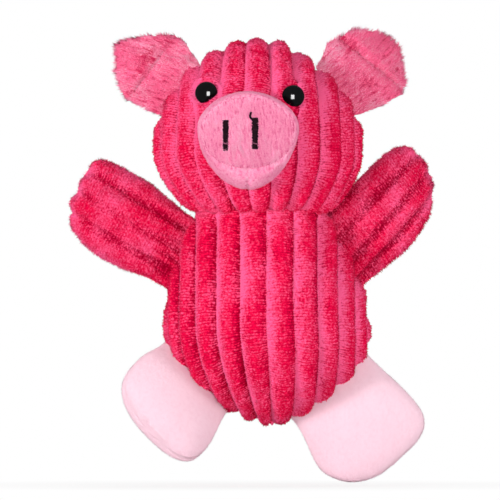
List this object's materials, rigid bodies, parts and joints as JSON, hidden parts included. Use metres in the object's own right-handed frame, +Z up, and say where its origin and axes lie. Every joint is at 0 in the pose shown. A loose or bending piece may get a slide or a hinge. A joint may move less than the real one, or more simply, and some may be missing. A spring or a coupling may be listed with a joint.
{
  "type": "plush pig",
  "caption": "Stuffed toy pig of wide-ribbed corduroy, with mitt arms, flat feet, leaf ears, a drum snout and bead eyes; head, ears and limbs flex at their seams.",
  "frame": {"origin": "under the middle of the pig's bounding box, at the height of its lowest point, the sole of the foot on the right of the picture", "axes": "+Z up through the head, -Y the way the face looks, +X towards the right of the picture"},
  "size_m": [0.1472, 0.0914, 0.1811],
  "materials": {
    "corduroy": "wide-wale corduroy plush, hot pink, brushed pile in rounded ribs with dark grooves",
    "ear_plush": "short-pile plush, mid pink",
    "snout_plush": "short-pile plush, light pink, combed downwards",
    "foot_plush": "short-pile plush, very pale pink",
    "stuffing": "white polyester fibre fill",
    "eye_plastic": "black moulded plastic, polished",
    "thread": "black embroidery thread, satin stitch",
    "washer_plastic": "natural nylon lock washer"
  },
  "bodies": {
    "torso": {"torso_cover_front": "corduroy", "torso_cover_back": "corduroy", "torso_stuffing": "stuffing"},
    "head": {"head_cover_front": "corduroy", "head_cover_back": "corduroy", "head_stuffing": "stuffing", "snout_face": "snout_plush", "snout_band": "snout_plush", "snout_stuffing": "stuffing", "nostril_left": "thread", "eye_left": "eye_plastic", "eye_washer_left": "washer_plastic", "nostril_right": "thread", "eye_right": "eye_plastic", "eye_washer_right": "washer_plastic"},
    "ear_left": {"ear_left": "ear_plush"},
    "ear_right": {"ear_right": "ear_plush"},
    "arm_left": {"arm_left_cover_front": "corduroy", "arm_left_cover_back": "corduroy", "arm_left_stuffing": "stuffing"},
    "foot_left": {"foot_left_cover_front": "foot_plush", "foot_left_cover_back": "foot_plush", "foot_left_stuffing": "stuffing"},
    "arm_right": {"arm_right_cover_front": "corduroy", "arm_right_cover_back": "corduroy", "arm_right_stuffing": "stuffing"},
    "foot_right": {"foot_right_cover_front": "foot_plush", "foot_right_cover_back": "foot_plush", "foot_right_stuffing": "stuffing"}
  },
  "joints": [
    {"name": "neck_nod", "type": "hinge", "parent": "torso", "child": "head", "pos_m": [0.0013, 0.00809, 0.10819], "axis": [1, 0, 0], "range_deg": [-12, 12], "stiffness_Nm_per_rad": 0.12},
    {"name": "ear_left_flop", "type": "hinge", "parent": "head", "child": "ear_left", "pos_m": [-0.03268, 0.00809, 0.15799], "axis": [0.5647, 0, 0.8253], "range_deg": [-20, 20], "stiffness_Nm_per_rad": 0.01},
    {"name": "ear_right_flop", "type": "hinge", "parent": "head", "child": "ear_right", "pos_m": [0.03365, 0.00809, 0.15774], "axis": [-0.5526, 0, 0.8335], "range_deg": [-20, 20], "stiffness_Nm_per_rad": 0.01},
    {"name": "arm_left_swing", "type": "hinge", "parent": "torso", "child": "arm_left", "pos_m": [-0.03154, 0.00809, 0.09269], "axis": [0.3278, 0, 0.9447], "range_deg": [-25, 25], "stiffness_Nm_per_rad": 0.03},
    {"name": "arm_right_swing", "type": "hinge", "parent": "torso", "child": "arm_right", "pos_m": [0.03576, 0.00809, 0.09269], "axis": [-0.4109, 0, 0.9117], "range_deg": [-25, 25], "stiffness_Nm_per_rad": 0.03},
    {"name": "foot_left_swing", "type": "hinge", "parent": "torso", "child": "foot_left", "pos_m": [-0.02407, 0.00809, 0.04119], "axis": [-0.6966, 0, 0.7175], "range_deg": [-20, 20], "stiffness_Nm_per_rad": 0.03},
    {"name": "foot_right_swing", "type": "hinge", "parent": "torso", "child": "foot_right", "pos_m": [0.02953, 0.00809, 0.03819], "axis": [0.7352, 0, 0.6778], "range_deg": [-20, 20], "stiffness_Nm_per_rad": 0.03}
  ]
}
